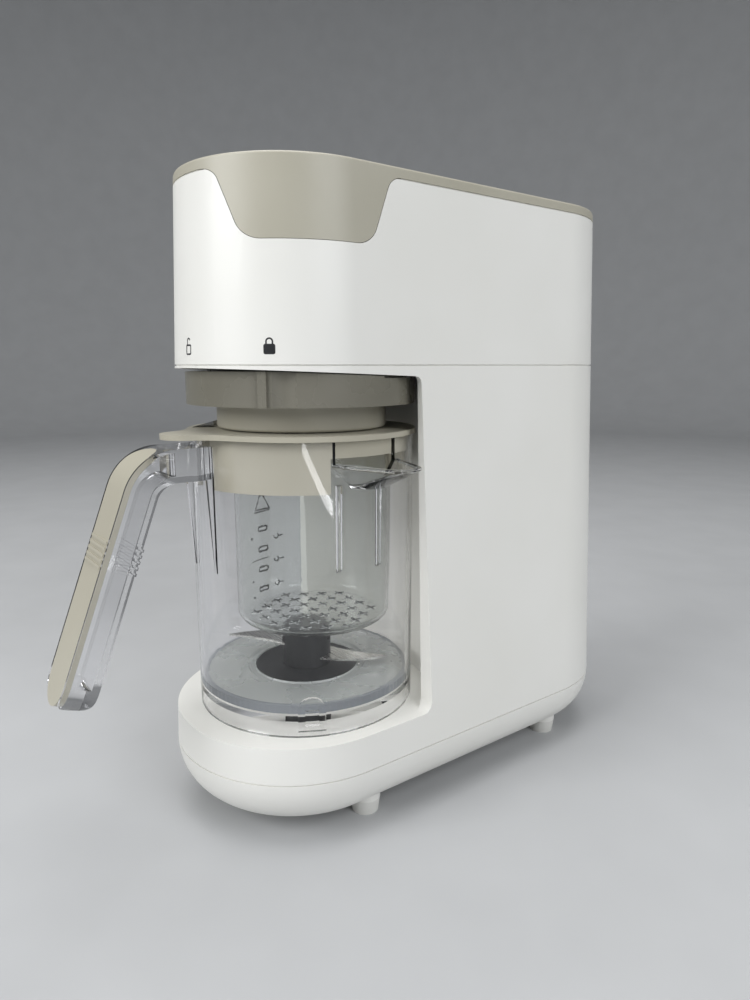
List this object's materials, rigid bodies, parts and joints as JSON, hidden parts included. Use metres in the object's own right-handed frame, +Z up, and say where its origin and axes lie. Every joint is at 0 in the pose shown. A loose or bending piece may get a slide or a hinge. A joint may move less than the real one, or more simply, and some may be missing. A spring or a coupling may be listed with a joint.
{
  "type": "baby food steamer and blender",
  "caption": "Upright steamer-blender for baby food: tower with a water tank and motor, clear docked jug with handle, spout, lid, steaming basket and blades.",
  "frame": {"origin": "bottom centre of the overall box, on the table", "axes": "+Z up, +Y from the jug's handle to the back of the tower, +X towards the jug's spout"},
  "size_m": [0.1622, 0.3556, 0.3326],
  "materials": {
    "white_plastic": "fine satin moulded ABS",
    "greige_plastic": "satin moulded ABS",
    "cream_plastic": "satin moulded polypropylene",
    "clear_plastic": "clear glossy copolyester",
    "smoke_plastic": "translucent grey copolyester",
    "tank_plastic": "clear polypropylene",
    "black_plastic": "black nylon, satin",
    "dark_panel": "dark glossy overlay",
    "grey_rubber": "grey silicone",
    "black_rubber": "black belt rubber",
    "white_rubber": "pale silicone",
    "stainless": "brushed stainless steel",
    "motor_steel": "zinc plated sheet",
    "aluminium": "cast, dull",
    "bronze": "sintered bronze",
    "circuit": "green circuit board",
    "hose": "translucent silicone"
  },
  "bodies": {
    "base": {"base_pan": "white_plastic", "feet": "white_rubber", "pan_screws": "stainless", "lower_body": "white_plastic", "head_housing": "white_plastic", "top_cover": "greige_plastic", "control_panel": "dark_panel", "control_board": "circuit", "lock_switch": "black_plastic", "ring_carrier": "greige_plastic", "inner_frame": "motor_steel", "motor_bracket": "motor_steel", "motor_can": "motor_steel", "drive_bearings": "bronze", "drive_belt": "black_rubber", "boiler": "aluminium", "steam_pipe": "stainless", "water_tank": "tank_plastic", "feed_hose": "hose", "power_board": "circuit", "power_inlet": "black_plastic", "flap_pin": "stainless"},
    "tank_flap": {"tank_flap": "greige_plastic"},
    "power_button": {"power_button": "cream_plastic"},
    "steam_button": {"steam_button": "cream_plastic"},
    "blend_button": {"blend_button": "cream_plastic"},
    "lock_ring": {"lock_ring": "greige_plastic"},
    "steam_sleeve": {"steam_sleeve": "cream_plastic", "sleeve_seal": "grey_rubber", "steam_nozzle": "stainless"},
    "drive": {"drive_shaft": "stainless", "drive_pulley": "black_plastic", "drive_fork": "black_plastic"},
    "motor_rotor": {"motor_shaft": "stainless", "motor_pulley": "black_plastic"},
    "jug": {"jug_wall": "clear_plastic", "jug_handle": "clear_plastic", "handle_inlay": "cream_plastic", "jug_floor": "smoke_plastic", "floor_seal": "grey_rubber", "blade_plate": "black_plastic", "blade_bush": "bronze"},
    "blades": {"blade_hub": "black_plastic", "lower_blade": "stainless", "upper_blade": "stainless", "blade_shaft": "stainless", "blade_tang": "black_plastic"},
    "lid": {"lid": "cream_plastic", "lid_valve": "smoke_plastic", "steam_basket": "clear_plastic"}
  },
  "joints": [
    {"name": "ring_turn", "type": "hinge", "parent": "base", "child": "lock_ring", "pos_m": [-0.01213, -0.04019, 0.2273], "axis": [0, 0, 1], "range_deg": [-36, 0]},
    {"name": "sleeve_lift", "type": "slide", "parent": "base", "child": "steam_sleeve", "axis": [0, 0, 1], "range_m": [0, 0.008]},
    {"name": "jug_out", "type": "slide", "parent": "base", "child": "jug", "axis": [0, -1, 0], "range_m": [0, 0.16]},
    {"name": "lid_twist", "type": "hinge", "parent": "jug", "child": "lid", "pos_m": [-0.01213, -0.04019, 0.2073], "axis": [0, 0, 1], "range_deg": [0, 40]},
    {"name": "drive_spin", "type": "hinge", "parent": "base", "child": "drive", "pos_m": [-0.01213, -0.04019, 0.0323], "axis": [0, 0, 1], "continuous": true},
    {"name": "motor_spin", "type": "hinge", "parent": "base", "child": "motor_rotor", "pos_m": [-0.01213, 0.06781, 0.0323], "axis": [0, 0, 1], "continuous": true},
    {"name": "blade_spin", "type": "hinge", "parent": "jug", "child": "blades", "pos_m": [-0.01213, -0.04019, 0.0823], "axis": [0, 0, 1], "continuous": true},
    {"name": "flap_hinge", "type": "hinge", "parent": "base", "child": "tank_flap", "pos_m": [-0.01213, 0.05581, 0.3296], "axis": [1, 0, 0], "range_deg": [0, 95]},
    {"name": "power_press", "type": "slide", "parent": "base", "child": "power_button", "axis": [0, 0, -1], "range_m": [0, 0.0012], "stiffness_N_per_m": 500, "springref_m": -0.001},
    {"name": "steam_press", "type": "slide", "parent": "base", "child": "steam_button", "axis": [0, 0, -1], "range_m": [0, 0.0012], "stiffness_N_per_m": 500, "springref_m": -0.001},
    {"name": "blend_press", "type": "slide", "parent": "base", "child": "blend_button", "axis": [0, 0, -1], "range_m": [0, 0.0012], "stiffness_N_per_m": 500, "springref_m": -0.001}
  ],
  "couplings": [
    {"joint": "sleeve_lift", "follows": "ring_turn", "m_per_rad": -0.0127},
    {"joint": "motor_spin", "follows": "drive_spin", "ratio": 2.4},
    {"joint": "blade_spin", "follows": "drive_spin", "ratio": 1}
  ]
}
